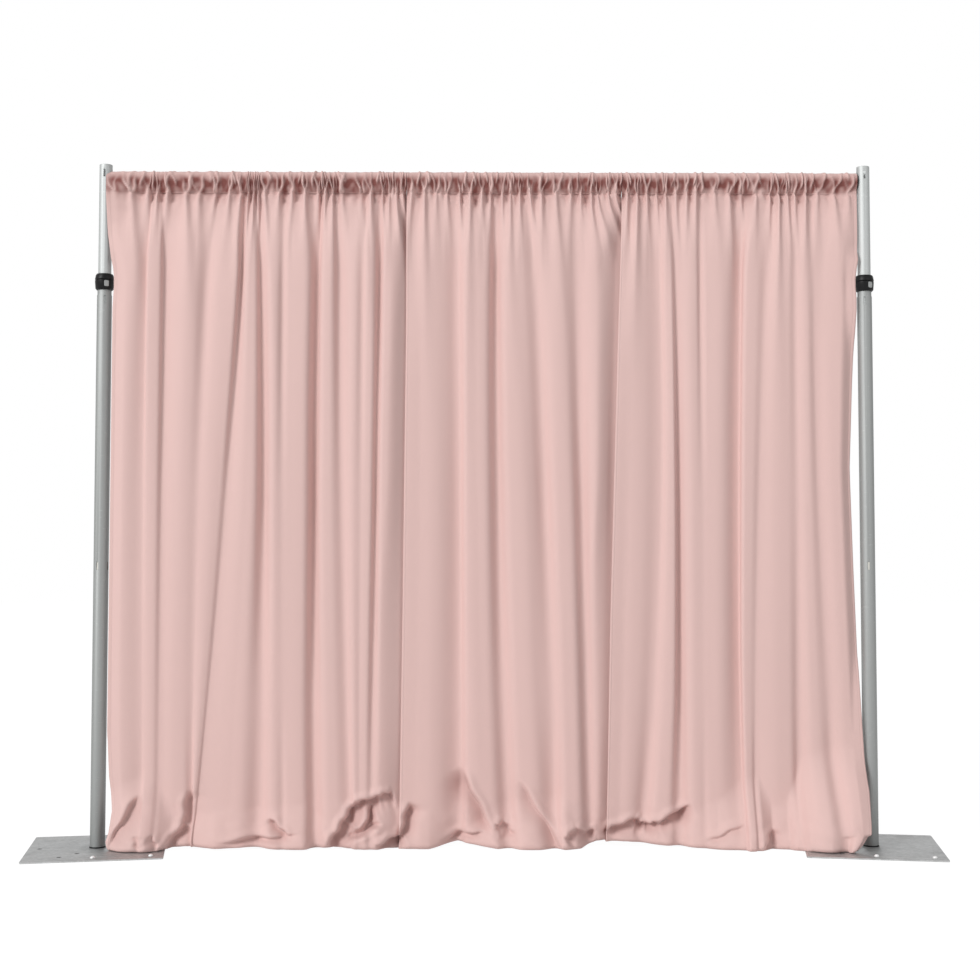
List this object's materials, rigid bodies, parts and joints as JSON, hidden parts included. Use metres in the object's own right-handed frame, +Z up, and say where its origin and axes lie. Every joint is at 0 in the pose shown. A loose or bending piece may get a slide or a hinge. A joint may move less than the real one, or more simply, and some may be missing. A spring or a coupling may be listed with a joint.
{
  "type": "pipe and drape backdrop",
  "caption": "Free-standing backdrop: gathered cloth panels on a telescoping crossbar hooked between telescoping uprights on flat square bases.",
  "frame": {"origin": "on the floor, midway between the two uprights", "axes": "+X along the crossbar to the right as seen from the front, +Y to the back, +Z up; the front faces -Y"},
  "size_m": [3.1742, 0.5242, 2.362],
  "materials": {
    "drape": "matt woven sheen",
    "aluminium": "mill finish, satin",
    "steel": "galvanised, dull",
    "zinc": "zinc plated",
    "black": "satin moulded",
    "nylon": "natural nylon"
  },
  "bodies": {
    "left_upright": {"left_lower_tube": "aluminium", "left_collar_body": "black", "left_collar_cap": "black", "left_collar_screw": "zinc", "left_brake_spring": "zinc"},
    "left_base": {"left_base_plate": "steel", "left_base_pin": "steel", "left_pin_bolt": "zinc", "left_foot_ring": "black"},
    "left_button": {"left_release_button": "zinc"},
    "left_brake": {"left_brake_ring": "zinc"},
    "left_mast": {"left_upper_tube": "aluminium", "left_guide_bush": "nylon"},
    "crossbar_outer": {"outer_bar": "aluminium", "bar_sleeve": "nylon", "left_bar_plug": "black", "left_hook": "zinc", "left_hook_rivet": "zinc", "drape_left": "drape", "drape_middle": "drape"},
    "crossbar_inner": {"inner_bar": "aluminium", "bar_bush": "nylon", "right_bar_plug": "black", "right_hook": "zinc", "right_hook_rivet": "zinc", "drape_right": "drape"},
    "right_mast": {"right_upper_tube": "aluminium", "right_guide_bush": "nylon"},
    "right_upright": {"right_lower_tube": "aluminium", "right_collar_body": "black", "right_collar_cap": "black", "right_collar_screw": "zinc", "right_brake_spring": "zinc"},
    "right_base": {"right_base_plate": "steel", "right_base_pin": "steel", "right_pin_bolt": "zinc", "right_foot_ring": "black"},
    "right_button": {"right_release_button": "zinc"},
    "right_brake": {"right_brake_ring": "zinc"}
  },
  "joints": [
    {"name": "left_swivel", "type": "hinge", "parent": "left_upright", "child": "left_base", "pos_m": [-1.325, 0, 0], "axis": [0, 0, 1], "continuous": true},
    {"name": "left_button_press", "type": "slide", "parent": "left_upright", "child": "left_button", "axis": [-0.4226, 0.9063, 0], "range_m": [0, 0.003], "stiffness_N_per_m": 800, "springref_m": -0.001},
    {"name": "left_brake_tilt", "type": "hinge", "parent": "left_upright", "child": "left_brake", "pos_m": [-1.33683, 0.02538, 1.9498], "axis": [-0.9063, -0.4226, 0], "range_deg": [0, 2.45], "deforming": ["left_brake_spring"]},
    {"name": "left_height", "type": "slide", "parent": "left_upright", "child": "left_mast", "axis": [0, 0, 1], "range_m": [0, 0.914]},
    {"name": "crossbar_lift", "type": "slide", "parent": "left_mast", "child": "crossbar_outer", "axis": [0, 0, 1], "range_m": [0, 0.01]},
    {"name": "crossbar_width", "type": "slide", "parent": "crossbar_outer", "child": "crossbar_inner", "axis": [1, 0, 0], "range_m": [-0.58, 0.4], "deforming": ["drape_left", "drape_middle", "drape_right"]},
    {"name": "right_hook_lift", "type": "slide", "parent": "crossbar_inner", "child": "right_mast", "axis": [0, 0, -1], "range_m": [0, 0.01]},
    {"name": "right_height", "type": "slide", "parent": "right_mast", "child": "right_upright", "axis": [0, 0, -1], "range_m": [0, 0.914]},
    {"name": "right_swivel", "type": "hinge", "parent": "right_upright", "child": "right_base", "pos_m": [1.325, 0, 0], "axis": [0, 0, 1], "continuous": true},
    {"name": "right_button_press", "type": "slide", "parent": "right_upright", "child": "right_button", "axis": [-0.4226, 0.9063, 0], "range_m": [0, 0.003], "stiffness_N_per_m": 800, "springref_m": -0.001},
    {"name": "right_brake_tilt", "type": "hinge", "parent": "right_upright", "child": "right_brake", "pos_m": [1.31317, 0.02538, 1.9498], "axis": [-0.9063, -0.4226, 0], "range_deg": [0, 2.45], "deforming": ["right_brake_spring"]}
  ],
  "couplings": [
    {"joint": "left_brake_tilt", "follows": "left_button_press", "rad_per_m": 14.25},
    {"joint": "right_brake_tilt", "follows": "right_button_press", "rad_per_m": 14.25},
    {"joint": "right_hook_lift", "follows": "crossbar_lift", "ratio": 1},
    {"joint": "right_height", "follows": "left_height", "ratio": 1}
  ]
}
